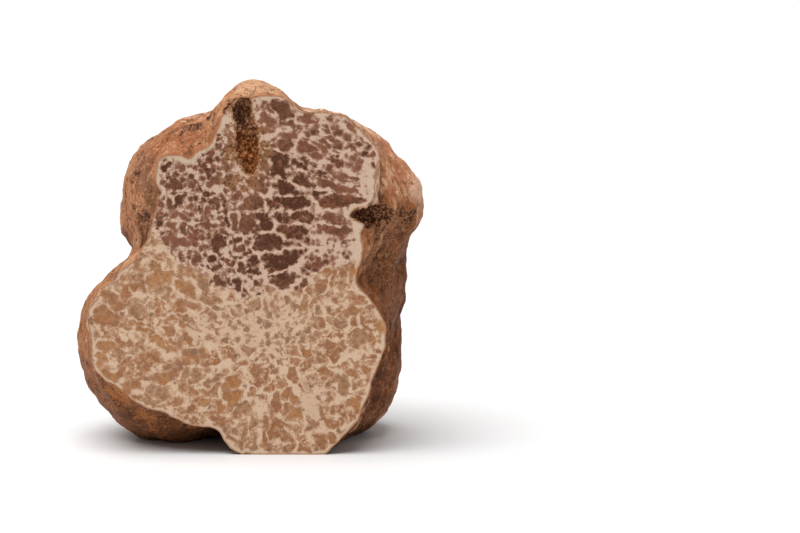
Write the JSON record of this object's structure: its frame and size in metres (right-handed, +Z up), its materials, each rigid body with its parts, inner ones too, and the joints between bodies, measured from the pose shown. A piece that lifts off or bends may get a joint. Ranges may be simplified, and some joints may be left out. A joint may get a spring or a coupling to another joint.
{
  "type": "cut bianchetto truffle",
  "caption": "Knobbly two-lobed truffle with one flat cut face that shows its marbled flesh, standing on small flat spots of its lower lobes.",
  "frame": {"origin": "middle of the truffle's box in plan, on the plane that it rests on", "axes": "+X to the right along the cut face, +Y from the cut face back into the body, +Z up"},
  "size_m": [0.0522, 0.036, 0.0545],
  "materials": {
    "truffle": "half-matt ochre brown skin with fine fibres and dark pits; the cut face is brown flesh with pale veins"
  },
  "bodies": {
    "root": {"bianchetto_truffle": "truffle"}
  },
  "joints": []
}
